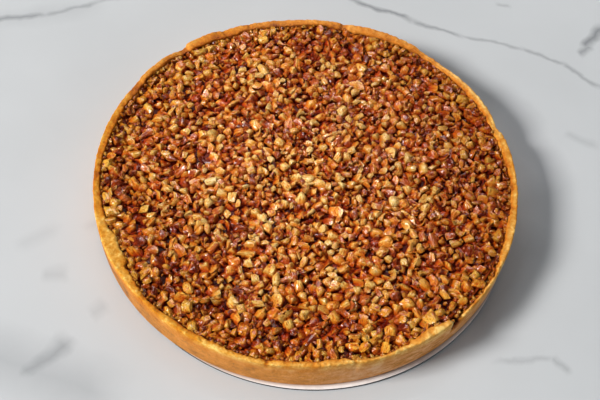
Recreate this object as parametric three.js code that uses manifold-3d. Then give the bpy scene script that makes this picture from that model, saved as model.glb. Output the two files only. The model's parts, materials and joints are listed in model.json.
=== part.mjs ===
// A pecan pie baked in a loose-bottomed tin, standing on the tin's base disc.
// Three pieces: the disc, the pastry shell, and the filling with its chopped pecans.
// Millimetres, +Z up. The origin is the centre of the pie's underside, on the surface it stands on.
import * as THREE from "three";
import { ConvexGeometry } from "three/addons/geometries/ConvexGeometry.js";
import { mergeVertices } from "three/addons/utils/BufferGeometryUtils.js";
import Module from "manifold-3d";

const wasm = await Module();
wasm.setup();

const degrees = Math.PI / 180;

// Tin base: a thin disc whose outer ledge stands just clear of the table. The pie sits a little off centre.
const base = {
  radius: 134,
  thickness: 1.8,
  ledgeWidth: 5,
  ledgeGap: 0.8,
  edgeRound: 0.3,
  shift: [3.3, -8.2],
  segments: 40,
};

// Pastry shell: straight upright sides, and a cut rim of uneven height and width.
const shell = {
  bottomRadius: 139.6,
  topRadius: 139.8,
  belly: 0.3,
  rimTop: 26.9,
  rimWidth: 4,
  rimRound: 0.9,
  innerDrop: 0.25,
  wall: 4.2,
  wallFoot: 7,
  floorTop: 6.3,
  steps: 90,
  closestSteps: 0.35,
};

// Filling: the level of the syrup at the shell's wall, and the narrow gap between the two.
// Above that level it keeps inside the rim's narrowest part within a few degrees, up to the tallest nut.
const filling = { level: 21.6, gap: 0.3, rimFrom: 1.5, tallest: 12, rimNear: [-4, -2, 0, 2, 4] };

// The chopped pecans that lie side by side and cover the filling, as cells in rows that drift and jitter.
// Each cell rises from its valleys to a crest, which is a ridge on most and else a face of 3 or 4 corners.
// jitter and reach are shares of the pitch, and valley and crest are heights above the table.
const bed = {
  pitch: 9,
  rowStep: Math.sqrt(3) / 2,
  jitter: 0.2,
  drift: 2.3,
  driftLength: 34,
  driftSlant: 1.4,
  driftPhase: 2,
  valley: [21.2, 22.9],
  crest: [23.9, 26.2],
  crestTilt: 0.5,
  ridges: 0.76,
  ridgeReach: [0.2, 0.38],
  faceReach: [0.16, 0.3],
};

// The larger pieces that lie on top of the others: shares are of a piece's length, and tilt is in radians.
const loose = {
  count: 30,
  longest: 14,
  shortest: 8.5,
  unevenness: 0.08,
  widthShare: [0.55, 0.8],
  heightShare: [0.45, 0.6],
  topWidth: [0.2, 0.42],
  endWidth: [0.75, 1],
  endHeight: [0.8, 1],
  endSlant: 0.12,
  topLength: 0.8,
  tilt: 0.35,
  bottom: [20.8, 21.6],
  tries: 30,
};

// The rim's slow waves, as [times round, size in millimetres, phase], before its folds and nicks.
const waves = {
  rise: [
    [2, 0.15, 3.6],
    [5, 0.2, 1.1],
    [13, 0.2, 0],
  ],
  out: [
    [2, 0.2, 1.57],
    [7, 0.15, 0.4],
  ],
  wide: [
    [4, 0.25, 1.3],
    [9, 0.3, 2.2],
  ],
};

// Where the rim is folded thicker, from one angle to another in degrees, counted from +X towards +Y.
// It comes on over start degrees and ends within a few. rise, out and wide are in millimetres.
const folds = [
  { from: 4, to: 21, start: 8, rise: 0.3, out: 0.1, wide: 1.6 },
  { from: 27, to: 44, start: 4, rise: 0.5, out: 0.2, wide: 0.5 },
  { from: 57, to: 81, start: 3, rise: 1, out: 0.3, wide: 0.8 },
  { from: 112, to: 132.5, start: 14, rise: 1.9, out: 0.7, wide: 0.6 },
  { from: 203, to: 217, start: 4, rise: 0.5, out: 0.2, wide: 3.2 },
  { from: 276.5, to: 285, start: 3, rise: 0.4, out: 0, wide: 1.3 },
  { from: 299, to: 313, start: 6, rise: 1.4, out: 0.6, wide: 2.6 },
  { from: 324, to: 352, start: 8, rise: 0.3, out: 0.4, wide: 1.4 },
];
const foldEnd = 1.2;

// Where the rim is cracked or worn down. A nick's rim also draws back, by a share of its drop.
const nickBack = 0.3;
const nicks = [
  { at: 23, half: 3, drop: 1.5 },
  { at: 50, half: 6, drop: 0.8 },
  { at: 82.5, half: 1.8, drop: 1.5 },
  { at: 101, half: 12, drop: 1.2 },
  { at: 111.5, half: 1.5, drop: 0.6 },
  { at: 134.2, half: 2.2, drop: 1.1 },
  { at: 155, half: 4.5, drop: 1.4 },
  { at: 227, half: 1.8, drop: 1.2 },
  { at: 264, half: 1.5, drop: 1.1 },
  { at: 285.8, half: 1, drop: 1.6 },
  { at: 314.6, half: 2, drop: 2.4 },
];

// Seeded random numbers, so that every build scatters the same nuts.
function seeded(seed) {
  let state = seed;
  return () => {
    state = (state + 0x6d2b79f5) | 0;
    let t = Math.imul(state ^ (state >>> 15), 1 | state);
    t = (t + Math.imul(t ^ (t >>> 7), 61 | t)) ^ t;
    return ((t ^ (t >>> 14)) >>> 0) / 4294967296;
  };
}
const random = seeded(11);
const between = (low, high) => low + (high - low) * random();

// A closed mesh as a solid that can be joined and cut.
function solidOf(geometry) {
  const plain = new THREE.BufferGeometry();
  plain.setAttribute("position", geometry.getAttribute("position"));
  plain.setIndex(geometry.index);
  const merged = mergeVertices(plain, 1e-4);
  return new wasm.Manifold(
    new wasm.Mesh({
      numProp: 3,
      vertProperties: new Float32Array(merged.attributes.position.array),
      triVerts: new Uint32Array(merged.index.array),
    }),
  );
}

// A mesh from a flat list of coordinates and its triangles.
function indexed(points, faces) {
  const geometry = new THREE.BufferGeometry();
  geometry.setAttribute("position", new THREE.Float32BufferAttribute(points, 3));
  geometry.setIndex(faces);
  return geometry;
}

// How the rim differs from a plain ring at an angle in degrees: its waves, then the folds and nicks.
function rimAt(angle) {
  const at = angle * degrees;
  const wave = (list) => list.reduce((sum, [n, size, phase]) => sum + size * Math.sin(n * at + phase), 0);
  let rise = wave(waves.rise);
  let out = wave(waves.out);
  let wide = wave(waves.wide);
  for (const fold of folds) {
    const begun = THREE.MathUtils.smoothstep(angle, fold.from, fold.from + fold.start);
    const ended = THREE.MathUtils.smoothstep(angle, fold.to - foldEnd, fold.to);
    rise += fold.rise * (begun - ended);
    out += fold.out * (begun - ended);
    wide += fold.wide * (begun - ended);
  }
  for (const { at, half, drop } of nicks) {
    const near = Math.max(0, 1 - Math.abs(angle - at) / half);
    rise -= drop * near;
    out -= nickBack * drop * near;
  }
  return { rise, out, wide };
}

// The angles at which the shell is sectioned: even steps, and the edges of each fold and nick.
const angles = [
  ...Array.from({ length: shell.steps }, (_, i) => (i * 360) / shell.steps),
  ...folds.flatMap(({ to }) => [to - foldEnd, to]),
  ...nicks.flatMap(({ at, half }) => [at - half, at, at + half]),
]
  .sort((a, b) => a - b)
  .filter((a, i, all) => i === 0 || a - all[i - 1] > shell.closestSteps);

// A closed solid of one section for each angle, from a middle point at its start to one at its end.
function loft(sectionAt, bottom, top) {
  const points = [];
  for (const angle of angles) {
    for (const [r, z] of sectionAt(angle)) {
      points.push(r * Math.cos(angle * degrees), r * Math.sin(angle * degrees), z);
    }
  }
  const rows = points.length / 3 / angles.length;
  const low = angles.length * rows;
  const high = low + 1;
  points.push(0, 0, bottom, 0, 0, top);
  const faces = [];
  for (let i = 0; i < angles.length; i++) {
    const here = i * rows;
    const next = ((i + 1) % angles.length) * rows;
    faces.push(low, next, here);
    for (let k = 0; k < rows - 1; k++) {
      faces.push(here + k, next + k, next + k + 1);
      faces.push(here + k, next + k + 1, here + k + 1);
    }
    faces.push(high, here + rows - 1, next + rows - 1);
  }
  return indexed(points, faces);
}

// The shell's section at an angle, as [radius, height] from its underside, over the rim, down to its floor.
function shellSection(angle) {
  const { rise, out, wide } = rimAt(angle);
  const top = shell.rimTop + rise;
  const rim = shell.topRadius + out;
  const inner = rim - shell.rimWidth - wide;
  const round = shell.rimRound;
  return [
    [shell.bottomRadius, base.thickness],
    [(shell.bottomRadius + rim) / 2 + shell.belly, (base.thickness + top) / 2],
    [rim, top - round],
    [rim - round, top],
    [inner + round, top - shell.innerDrop],
    [inner, top - shell.innerDrop - round],
    [shell.topRadius - shell.wall, filling.level],
    [shell.bottomRadius - shell.wallFoot, shell.floorTop],
  ];
}

// The space that the filling may take, inside the wall and the rim.
function cavity() {
  const rimInner = (angle) => shellSection(angle)[5][0];
  const wallTop = shell.topRadius - shell.wall;
  const top = filling.level + filling.tallest;
  const sectionAt = (angle) => {
    const narrowest = Math.min(wallTop, ...filling.rimNear.map((step) => rimInner(angle + step)));
    return [
      [shell.bottomRadius - shell.wallFoot - filling.gap, shell.floorTop],
      [wallTop - filling.gap, filling.level],
      [narrowest - filling.gap, filling.level + filling.rimFrom],
      [narrowest - filling.gap, top],
    ];
  };
  return loft(sectionAt, shell.floorTop, top);
}

// A sideways drift in slow waves, which stretches the rows one way here and another there.
function drifted(x, y) {
  const turn = (2 * Math.PI) / bed.driftLength;
  const slanted = turn * (x + bed.driftSlant * y);
  return new THREE.Vector2(
    x + bed.drift * (Math.sin(turn * y) + Math.sin(slanted) / 2),
    y + bed.drift * (Math.sin(turn * x + bed.driftPhase) + Math.cos(slanted) / 2),
  );
}

// The middles of the bed's cells, row by row.
function cellGrid() {
  const halfRows = Math.ceil(shell.topRadius / (bed.pitch * bed.rowStep)) + 1;
  const halfAcross = Math.ceil(shell.topRadius / bed.pitch) + 1;
  const grid = { rows: 2 * halfRows + 1, across: 2 * halfAcross + 1, sites: [] };
  for (let j = 0; j < grid.rows; j++) {
    for (let i = 0; i < grid.across; i++) {
      const x = (i - halfAcross + (j % 2) / 2 + bed.jitter * between(-1, 1)) * bed.pitch;
      const y = (j - halfRows + bed.jitter * between(-1, 1)) * bed.pitch * bed.rowStep;
      grid.sites.push(drifted(x, y));
    }
  }
  return grid;
}

// A cell's crest: the corners of its ridge or face, in turn round the cell's middle, and a function that says
// which of them lies nearest in direction to a place.
function crestOf(site) {
  const ridge = random() < bed.ridges;
  const count = ridge ? 2 : Math.round(between(2.5, 4));
  const step = (2 * Math.PI) / count;
  const turn = between(0, 2 * Math.PI);
  const height = between(...bed.crest);
  const corners = Array.from({ length: count }, (_, k) => {
    const a = turn + step * k;
    const reach = bed.pitch * between(...(ridge ? bed.ridgeReach : bed.faceReach));
    const z = height + bed.crestTilt * between(-1, 1);
    return new THREE.Vector3(site.x + reach * Math.cos(a), site.y + reach * Math.sin(a), z);
  });
  const nearest = ({ x, y }) => {
    const steps = Math.round((Math.atan2(y - site.y, x - site.x) - turn) / step);
    return (steps + 4 * count) % count;
  };
  return { corners, nearest };
}

// The bed of nuts: six-sided cells side by side, each raised to its crest, on a block down to z = 0.
function nutBed() {
  const { rows, across, sites } = cellGrid();
  const points = [];
  const faces = [];
  const add = ({ x, y, z }) => points.push(x, y, z) / 3 - 1;

  // Three neighbouring cells meet in a valley corner, which has a twin on the underside.
  const valleys = new Map();
  const valleyOf = (...cells) => {
    const key = cells.sort((a, b) => a - b).join();
    if (!valleys.has(key)) {
      const middle = cells.reduce((sum, cell) => sum.add(sites[cell]), new THREE.Vector2()).divideScalar(3);
      const place = new THREE.Vector3(middle.x, middle.y, between(...bed.valley));
      valleys.set(key, { place, top: add(place), low: add({ ...place, z: 0 }) });
    }
    return valleys.get(key);
  };

  // The sides of cells that no other cell shares yet: in the end, the block's outer walls.
  const open = new Map();
  const shareSide = (here, next) => {
    if (!open.delete(`${next.top},${here.top}`)) open.set(`${here.top},${next.top}`, [here, next]);
  };

  for (let j = 1; j < rows - 1; j++) {
    for (let i = 1; i < across - 1; i++) {
      const odd = j % 2;
      const at = (down, side) => (j + down) * across + i + side;
      const ring = [at(0, 1), at(1, odd), at(1, odd - 1), at(0, -1), at(-1, odd - 1), at(-1, odd)];
      const own = ring.map((cell, k) => valleyOf(at(0, 0), cell, ring[(k + 1) % 6]));
      const { corners, nearest } = crestOf(sites[at(0, 0)]);
      const crest = corners.map(add);
      own.forEach((here, k) => {
        const next = own[(k + 1) % 6];
        const last = nearest(next.place);
        let corner = nearest(here.place);
        faces.push(here.top, next.top, crest[corner]);
        while (corner !== last) {
          const after = (corner + 1) % crest.length;
          faces.push(next.top, crest[after], crest[corner]);
          corner = after;
        }
        if (k > 0 && k < 5) faces.push(next.low, here.low, own[0].low);
        shareSide(here, next);
      });
      for (let k = 1; k < crest.length - 1; k++) faces.push(crest[0], crest[k], crest[k + 1]);
    }
  }
  for (const [here, next] of open.values()) {
    faces.push(here.low, next.low, next.top, here.low, next.top, here.top);
  }
  return indexed(points, faces);
}

// One loose piece, lying along X: a block of nut whose top is smaller, with slanted ends.
function nutPoints(length, width, height) {
  const points = [];
  for (const end of [-1, 1]) {
    const slant = loose.endSlant * length * between(-1, 1);
    const foot = (width / 2) * between(...loose.endWidth);
    const topEnd = (end * loose.topLength * length) / 2 - slant;
    for (const side of [-1, 1]) {
      const top = width * between(...loose.topWidth);
      points.push(new THREE.Vector3((end * length) / 2 + slant, side * foot, 0));
      points.push(new THREE.Vector3(topEnd, side * top, height * between(...loose.endHeight)));
    }
  }
  return points;
}

// The loose pieces, the largest first, each put where it lies furthest from those before it.
function loosePieces() {
  const reach = shell.topRadius - shell.rimWidth - loose.longest / 2;
  const sites = [];
  const pieces = [];
  for (let i = 0; i < loose.count; i++) {
    let best = null;
    let bestGap = -1;
    for (let t = 0; t < loose.tries; t++) {
      const out = reach * Math.sqrt(random());
      const a = between(0, 2 * Math.PI);
      const spot = new THREE.Vector2(out * Math.cos(a), out * Math.sin(a));
      const gap = Math.min(loose.longest + reach - out, ...sites.map((site) => site.distanceTo(spot)));
      if (gap > bestGap) {
        best = spot;
        bestGap = gap;
      }
    }
    sites.push(best);
    const even = THREE.MathUtils.lerp(loose.longest, loose.shortest, i / loose.count);
    const length = even * (1 + loose.unevenness * between(-1, 1));
    const width = length * between(...loose.widthShare);
    const height = length * between(...loose.heightShare);
    const [roll, nod] = [loose.tilt * between(-1, 1), loose.tilt * between(-1, 1)];
    const turn = new THREE.Euler(roll, nod, between(0, 2 * Math.PI), "ZYX");
    const place = new THREE.Vector3(best.x, best.y, between(...loose.bottom));
    const points = nutPoints(length, width, height).map((point) => point.applyEuler(turn).add(place));
    pieces.push(solidOf(new ConvexGeometry(points)));
  }
  return pieces;
}

function pecanFilling() {
  const heap = wasm.Manifold.union([solidOf(nutBed()), ...loosePieces()]);
  const mesh = heap.intersect(solidOf(cavity())).getMesh();
  return indexed(mesh.vertProperties, new THREE.BufferAttribute(mesh.triVerts, 1));
}

// The disc's section: a flat underside, a step up to the ledge, a rounded edge and a flat top.
function baseGeometry() {
  const { radius, thickness, ledgeWidth, ledgeGap, edgeRound } = base;
  const foot = radius - ledgeWidth;
  const profile = [
    [0, 0],
    [foot, 0],
    [foot + ledgeGap, ledgeGap],
    [radius - edgeRound, ledgeGap],
    [radius, ledgeGap + edgeRound],
    [radius, thickness - edgeRound],
    [radius - edgeRound, thickness],
    [0, thickness],
  ].map(([r, z]) => new THREE.Vector2(r, z));
  return new THREE.LatheGeometry(profile, base.segments).rotateX(Math.PI / 2);
}

function node(name, geometry, color, roughness, metalness = 0) {
  const mesh = new THREE.Mesh(geometry, new THREE.MeshStandardMaterial({ color, roughness, metalness }));
  mesh.name = name;
  return mesh;
}

const tinBase = node("tin_base", baseGeometry(), 0xdad6d0, 0.25, 1);
tinBase.position.set(...base.shift, 0);

const pie = new THREE.Group();
pie.add(tinBase);
pie.add(node("crust", loft(shellSection, base.thickness, shell.floorTop), 0xd9964a, 0.75));
pie.add(node("pecan_filling", pecanFilling(), 0x9a5522, 0.35));

export default pie;
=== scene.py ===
# Pecan pie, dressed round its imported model. Blender 4.5. Sizes are in millimetres and become metres by mm.
import json
import math

import bpy
import numpy as np
from mathutils import Matrix, Vector, noise

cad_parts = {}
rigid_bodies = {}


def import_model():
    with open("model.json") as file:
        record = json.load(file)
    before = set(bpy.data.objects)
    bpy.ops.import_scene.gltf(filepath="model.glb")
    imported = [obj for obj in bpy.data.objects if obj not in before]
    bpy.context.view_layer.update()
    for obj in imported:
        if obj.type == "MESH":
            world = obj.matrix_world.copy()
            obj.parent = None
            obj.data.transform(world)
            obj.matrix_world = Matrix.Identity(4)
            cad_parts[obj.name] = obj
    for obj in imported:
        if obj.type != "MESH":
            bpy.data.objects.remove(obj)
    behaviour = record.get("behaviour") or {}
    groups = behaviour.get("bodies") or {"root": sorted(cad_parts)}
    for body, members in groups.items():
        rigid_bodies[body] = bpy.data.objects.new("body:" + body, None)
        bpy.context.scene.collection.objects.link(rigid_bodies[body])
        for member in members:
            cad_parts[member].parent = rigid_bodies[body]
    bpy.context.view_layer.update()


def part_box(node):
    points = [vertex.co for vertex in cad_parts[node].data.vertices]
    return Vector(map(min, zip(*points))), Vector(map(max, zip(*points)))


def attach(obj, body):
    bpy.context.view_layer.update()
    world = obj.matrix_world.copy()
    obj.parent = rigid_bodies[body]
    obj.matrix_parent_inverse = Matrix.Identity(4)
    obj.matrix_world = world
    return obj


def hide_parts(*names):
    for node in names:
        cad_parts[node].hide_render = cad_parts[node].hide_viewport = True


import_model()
mm = 0.001


def startPiece():
    # An operator acts on all that is selected, so nothing is when a new piece starts.
    if bpy.context.mode != "OBJECT":
        bpy.ops.object.mode_set(mode="OBJECT")
    bpy.ops.object.select_all(action="DESELECT")


def newestPiece(name):
    piece = bpy.context.object
    piece.name = name
    piece.data.name = name
    return piece


def applyModifiers(piece):
    startPiece()
    piece.select_set(True)
    bpy.context.view_layer.objects.active = piece
    for modifier in list(piece.modifiers):
        bpy.ops.object.modifier_apply(modifier=modifier.name)


def readPoints(mesh):
    points = np.empty(len(mesh.vertices) * 3)
    mesh.vertices.foreach_get("co", points)
    return points.reshape(-1, 3) / mm


def writePoints(mesh, points):
    mesh.vertices.foreach_set("co", (points * mm).ravel())
    mesh.update()


def writeValues(mesh, name, values, kind="FLOAT"):
    attribute = mesh.attributes.new(name, kind, "POINT")
    key = "vector" if kind == "FLOAT_VECTOR" else "value"
    attribute.data.foreach_set(key, np.asarray(values, dtype=float).ravel())


def smoothStep(low, high, value):
    t = np.clip((value - low) / (high - low), 0, 1)
    return t * t * (3 - 2 * t)


def noiseAt(points, size, seed=0.0):
    # Perlin noise of about -1 to 1 at each point, with lumps of that size.
    shift = Vector((seed * 17.3, seed * 7.1, seed * 3.7))
    return np.array([noise.noise(Vector(p) / size + shift) for p in points])


view = {
    "target": (0, 0, 13.5),
    "distance": 672.8,
    "elevation": 55.14,
    "lens": 60,
    "roll": 4.7,
    "aimLeft": 0.0058,  # how far beside the target it aims, as a share of the distance
    "aimDown": 0.0155,
}


def addCamera():
    startPiece()
    bpy.ops.object.camera_add()
    camera = bpy.context.object
    camera.data.lens = view["lens"]
    camera.data.sensor_width = 36
    camera.data.clip_start = 0.02
    camera.data.clip_end = 20
    tilt = math.radians(view["elevation"])
    away = Vector((0, -math.cos(tilt), math.sin(tilt)))
    start = Vector(view["target"]) * mm + away * view["distance"] * mm
    roll = Matrix.Rotation(math.radians(view["roll"]), 3, away)
    right = roll @ Vector((1, 0, 0))
    up = roll @ away.cross(Vector((1, 0, 0)))
    away = (away + right * view["aimLeft"] + up * view["aimDown"]).normalized()
    right = up.cross(away).normalized()
    up = away.cross(right)
    camera.matrix_world = Matrix.Translation(start) @ Matrix((right, up, away)).transposed().to_4x4()
    bpy.context.scene.camera = camera


addCamera()
print("camera placed")


def screenColour(red, green, blue):
    # Screen colour, 0 to 255, as the linear values that shaders take.
    linear = [((c / 255 + 0.055) / 1.055) ** 2.4 if c > 10 else c / 255 / 12.92 for c in (red, green, blue)]
    return (*linear, 1)


def newMaterial(name):
    material = bpy.data.materials.new(name)
    material.use_nodes = True
    tree = material.node_tree
    return material, tree, tree.nodes["Principled BSDF"]


def setInputs(tree, node, inputs):
    # Links each socket that is given, and sets each plain value.
    for key, value in inputs.items():
        if isinstance(value, bpy.types.NodeSocket):
            tree.links.new(value, node.inputs[key])
        else:
            node.inputs[key].default_value = value


def newNode(tree, kind, inputs, **settings):
    node = tree.nodes.new(kind)
    for key, value in settings.items():
        setattr(node, key, value)
    setInputs(tree, node, inputs)
    return node


def addNode(tree, kind, inputs, **settings):
    return newNode(tree, "ShaderNode" + kind, inputs, **settings)


def attributeNode(tree, name):
    return addNode(tree, "Attribute", {}, attribute_name=name, attribute_type="GEOMETRY")


def blendColours(tree, factor, first, second, how="MIX"):
    node = addNode(tree, "Mix", {0: factor, 6: first, 7: second}, data_type="RGBA", blend_type=how)
    return node.outputs[2]


def noiseNode(tree, place, scale, detail=3, roughness=0.5):
    inputs = {"Vector": place, "Scale": scale, "Detail": detail, "Roughness": roughness}
    return addNode(tree, "TexNoise", inputs).outputs["Fac"]


def scaledPlace(tree, place, scale):
    return addNode(tree, "Mapping", {"Vector": place, "Scale": scale}).outputs[0]


def stretch(tree, value, low, high, start=0.0, end=1.0):
    node = addNode(tree, "MapRange", {"Value": value, 1: low, 2: high, 3: start, 4: end})
    return node.outputs["Result"]


def fromNoise(tree, value, start=0.0, end=1.0):
    # Noise lies mostly between these two values.
    return stretch(tree, value, 0.3, 0.7, start, end)


def overBand(tree, value, band, start=0.0, end=1.0):
    # From start to end over a band of heights or distances in millimetres.
    return stretch(tree, value, band[0] * mm, band[1] * mm, start, end)


def sums(tree, how, first, second):
    return addNode(tree, "Math", {0: first, 1: second}, operation=how).outputs["Value"]


def vectorSums(tree, how, first, second):
    return addNode(tree, "VectorMath", {0: first, 1: second}, operation=how).outputs[0]


def bump(tree, height, strength, distance):
    node = addNode(tree, "Bump", {"Height": height, "Strength": strength, "Distance": distance})
    return node.outputs["Normal"]


def ownPlace(tree):
    return addNode(tree, "TexCoord", {}).outputs["Object"]


def heightOf(tree, place):
    return addNode(tree, "SeparateXYZ", {0: place}).outputs["Z"]


def distanceOut(tree, place):
    # How far each place is from the pie's middle line.
    flat = vectorSums(tree, "MULTIPLY", place, (1, 1, 0))
    return addNode(tree, "VectorMath", {0: flat}, operation="LENGTH").outputs["Value"]


def rampColour(tree, value, stops):
    # A colour ramp with those places and screen colours.
    ramp = addNode(tree, "ValToRGB", {"Fac": value})
    elements = ramp.color_ramp.elements
    while len(elements) < len(stops):
        elements.new(0.5)
    for element, (position, shade) in zip(elements, stops):
        element.position = position
        element.color = screenColour(*shade)
    return ramp.outputs["Color"]


studio = {
    "floorSize": 6.0,  # metres
    "floorColour": screenColour(201, 203, 204),
    "cloud": (6.0, 5),  # scale and detail
    "cloudShade": 0.93,
    "veinAndShadeColour": screenColour(120, 122, 125),
    "paintedLightColour": screenColour(238, 239, 240),
    "world": (0.81, 0.88, 0.96, 1),
    "worldStrength": 0.2,
    # name, kind, azimuth from +X towards +Y, elevation, distance in metres, size or a spot's radius,
    # watts, colour, whether it only glints
    "lights": [
        ("key", "AREA", 197, 35.5, 5.5, 1.49, 415, (1.0, 0.985, 0.97), False),
        ("back", "AREA", 92, 58, 2.4, 2.0, 10, (1.0, 0.99, 0.98), False),
        ("fill", "AREA", 300, 12, 3.0, 1.5, 14, (0.8, 0.9, 1.0), False),
        ("dome", "SPOT", 104, 58, 1.2, 0.04, 36, (1.0, 0.94, 0.95), False),
        ("sheen", "AREA", 95, 57, 2.4, 1.6, 58, (1.0, 0.93, 0.92), True),
    ],
    "cone": 12.5,
    # veins of the marble, in millimetres: from, to, half width, how dark. The last is a broad patch of
    # painted shade that deepens the pie's shadow towards the front right.
    "veinsAndShading": [
        ((20, 192), (76, 172), 3.4, 0.75), ((70, 174), (112, 159), 3, 0.6),
        ((106, 162), (162, 151), 2.4, 0.45), ((156, 154), (190, 139), 2.8, 0.5),
        ((184, 143), (218, 118), 3, 0.5), ((206, 156), (222, 186), 6, 0.8),
        ((200, 152), (213, 160), 5, 0.6), ((138, 200), (151, 199), 3, 0.35),
        ((186, 72), (206, 65), 5, 0.22), ((-256, 136), (-206, 147), 5, 0.65),
        ((-214, 144), (-170, 167), 4, 0.5), ((-178, 163), (-138, 178), 3, 0.35),
        ((-256, 134), (-170, 160), 13, 0.15), ((-163, -151), (-136, -120), 11, 0.55),
        ((-163, -78), (-148, -75), 8, 0.2), ((-128, -103), (-118, -94), 8, 0.2),
        ((-200, -130), (-100, -160), 26, 0.3), ((126, -113), (166, -105), 3, 0.28),
        ((163, -104), (172, -116), 4, 0.35), ((-143, -42), (-126, -22), 7, 0.14),
        ((-185, -60), (-160, -40), 8, 0.12), ((113, -98), (159, -12), 26, 0.36),
    ],
    # a pale patch of painted light that lifts the pie's shadow towards the back right: from, to, half width,
    # how strong
    "paintedLightPatches": [((125, 95), (166, 22), 34, 0.45)],
    "wander": (45.0, 4.0, 0.012),  # how the veins wander: scale, detail, and how far in metres
}


def strokedPlace(tree, place, veinsAndShading):
    # How strongly the listed strokes colour each place of the floor, from 0 to 1: the marble's veins, and
    # broad patches of painted shade and painted light.
    scale, detail, far = studio["wander"]
    waves = addNode(tree, "TexNoise", {"Vector": place, "Scale": scale, "Detail": detail}).outputs["Color"]
    waves = vectorSums(tree, "SUBTRACT", waves, (0.5, 0.5, 0.5))
    waves = addNode(tree, "VectorMath", {0: waves, "Scale": far}, operation="SCALE").outputs[0]
    moved = vectorSums(tree, "ADD", place, waves)
    dark = 0.0
    for (x0, y0), (x1, y1), half, strength in veinsAndShading:
        spot = {
            "Vector": moved,
            "Location": ((x0 + x1) / 2 * mm, (y0 + y1) / 2 * mm, 0),
            "Rotation": (0, 0, math.atan2(y1 - y0, x1 - x0)),
            "Scale": (math.hypot(x1 - x0, y1 - y0) / 2 * mm, half * mm, 1),
        }
        inVein = addNode(tree, "Mapping", spot, vector_type="TEXTURE").outputs[0]
        local = addNode(tree, "SeparateXYZ", {0: inVein})
        along = stretch(tree, sums(tree, "ABSOLUTE", local.outputs["X"], 0.0), 0.6, 1.1, strength, 0.0)
        across = stretch(tree, sums(tree, "ABSOLUTE", local.outputs["Y"], 0.0), 0.0, 1.0, 1.0, 0.0)
        dark = sums(tree, "MAXIMUM", dark, sums(tree, "MULTIPLY", along, across))
    return dark


def addFloor():
    startPiece()
    bpy.ops.mesh.primitive_plane_add(size=studio["floorSize"])
    floor = newestPiece("floor")
    material, tree, shader = newMaterial("paleFloor")
    place = ownPlace(tree)
    cloud = stretch(tree, noiseNode(tree, place, *studio["cloud"]), 0.35, 0.65)
    base = studio["floorColour"]
    darker = (*(c * studio["cloudShade"] for c in base[:3]), 1)
    stone = blendColours(tree, cloud, base, darker)
    # The veins also paint a broad patch of shade into the pie's shadow towards the front right.
    veinsAndShading = strokedPlace(tree, place, studio["veinsAndShading"])
    stone = blendColours(tree, veinsAndShading, stone, studio["veinAndShadeColour"])
    # Painted light: a pale patch lifts the pie's shadow towards the back right.
    pale = strokedPlace(tree, place, studio["paintedLightPatches"])
    stone = blendColours(tree, pale, stone, studio["paintedLightColour"])
    setInputs(tree, shader, {"Base Color": stone, "Roughness": 0.6, "Specular IOR Level": 0.0})
    floor.data.materials.append(material)


def addLights():
    world = bpy.data.worlds.new("studioAir")
    world.use_nodes = True
    background = world.node_tree.nodes["Background"]
    background.inputs["Color"].default_value = studio["world"]
    background.inputs["Strength"].default_value = studio["worldStrength"]
    bpy.context.scene.world = world
    world.cycles_visibility.glossy = False
    for name, kind, azimuth, elevation, distance, size, watts, colour, glints in studio["lights"]:
        startPiece()
        bpy.ops.object.light_add(type=kind)
        light = bpy.context.object
        light.name = name
        light.data.energy = watts
        light.data.color = colour
        light.visible_diffuse = not glints
        if kind == "SPOT":
            light.data.spot_size = math.radians(studio["cone"])
            light.data.spot_blend = 1
            light.data.shadow_soft_size = size
        else:
            light.data.size = size
        a, e = math.radians(azimuth), math.radians(elevation)
        back = Vector((math.cos(a) * math.cos(e), math.sin(a) * math.cos(e), math.sin(e)))
        light.location = back * distance
        light.rotation_euler = back.to_track_quat("Z", "Y").to_euler()
    bpy.context.scene.view_settings.view_transform = "Standard"


addFloor()
addLights()
print("floor and lights ready")


disc = {
    "segments": 288,
    "shift": (3.3, -8.2),
    "ledgeWidth": 5.0,
    "ledgeGap": 0.2,
    "edgeRound": 0.3,
    "edgeSteps": 5,
    "topRing": 1,  # how far in from the ledge the top has its outer ring
    "innerRing": 40,  # how far in from the ledge both flat faces have their inner ring
    "bright": screenColour(250, 245, 242),
    "dull": screenColour(232, 225, 220),
    # painted shade close to the pastry's foot, where the pie shades the tin
    "footShade": screenColour(168, 140, 118),
    # painted shade on the tin's edge, for the shadow in the gap under its ledge
    "edgeShade": screenColour(12, 10, 9),
    "footShadeOut": (139.3, 141.4),
    "edgeShadeTop": (1.64, 1.77),
    "streakScale": (60, 60, 900),
    "streaks": (3.0, 4),  # scale and detail
}


def ringsFrom(section, segments):
    # A circle at the first radius and height, extruded from each place of the section to the next.
    (radius, height), *rest = section
    startPiece()
    bpy.ops.mesh.primitive_circle_add(
        vertices=segments, radius=radius * mm, fill_type="NOTHING", location=(0, 0, 0))
    bpy.ops.object.mode_set(mode="EDIT")
    bpy.ops.mesh.select_all(action="SELECT")
    bpy.ops.transform.translate(value=(0, 0, height * mm))
    # A copy of the circle closes the first end with a pole. The last ring is closed in the same way.
    bpy.ops.mesh.duplicate()
    bpy.ops.mesh.edge_face_add()
    bpy.ops.mesh.poke()
    bpy.ops.mesh.select_all(action="SELECT")
    bpy.ops.mesh.remove_doubles(threshold=1e-6)
    bpy.ops.mesh.select_all(action="DESELECT")
    bpy.ops.mesh.select_mode(type="EDGE")
    bpy.ops.mesh.select_non_manifold(extend=False)
    for newRadius, newHeight in rest:
        bpy.ops.mesh.extrude_region_move()
        grow = newRadius / radius
        bpy.ops.transform.resize(value=(grow, grow, 1))
        bpy.ops.transform.translate(value=(0, 0, (newHeight - height) * mm))
        radius, height = newRadius, newHeight
    bpy.ops.mesh.edge_face_add()
    bpy.ops.mesh.poke()
    bpy.ops.mesh.select_all(action="SELECT")
    bpy.ops.mesh.normals_make_consistent(inside=False)
    bpy.ops.object.mode_set(mode="OBJECT")
    bpy.ops.object.shade_smooth()


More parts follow.
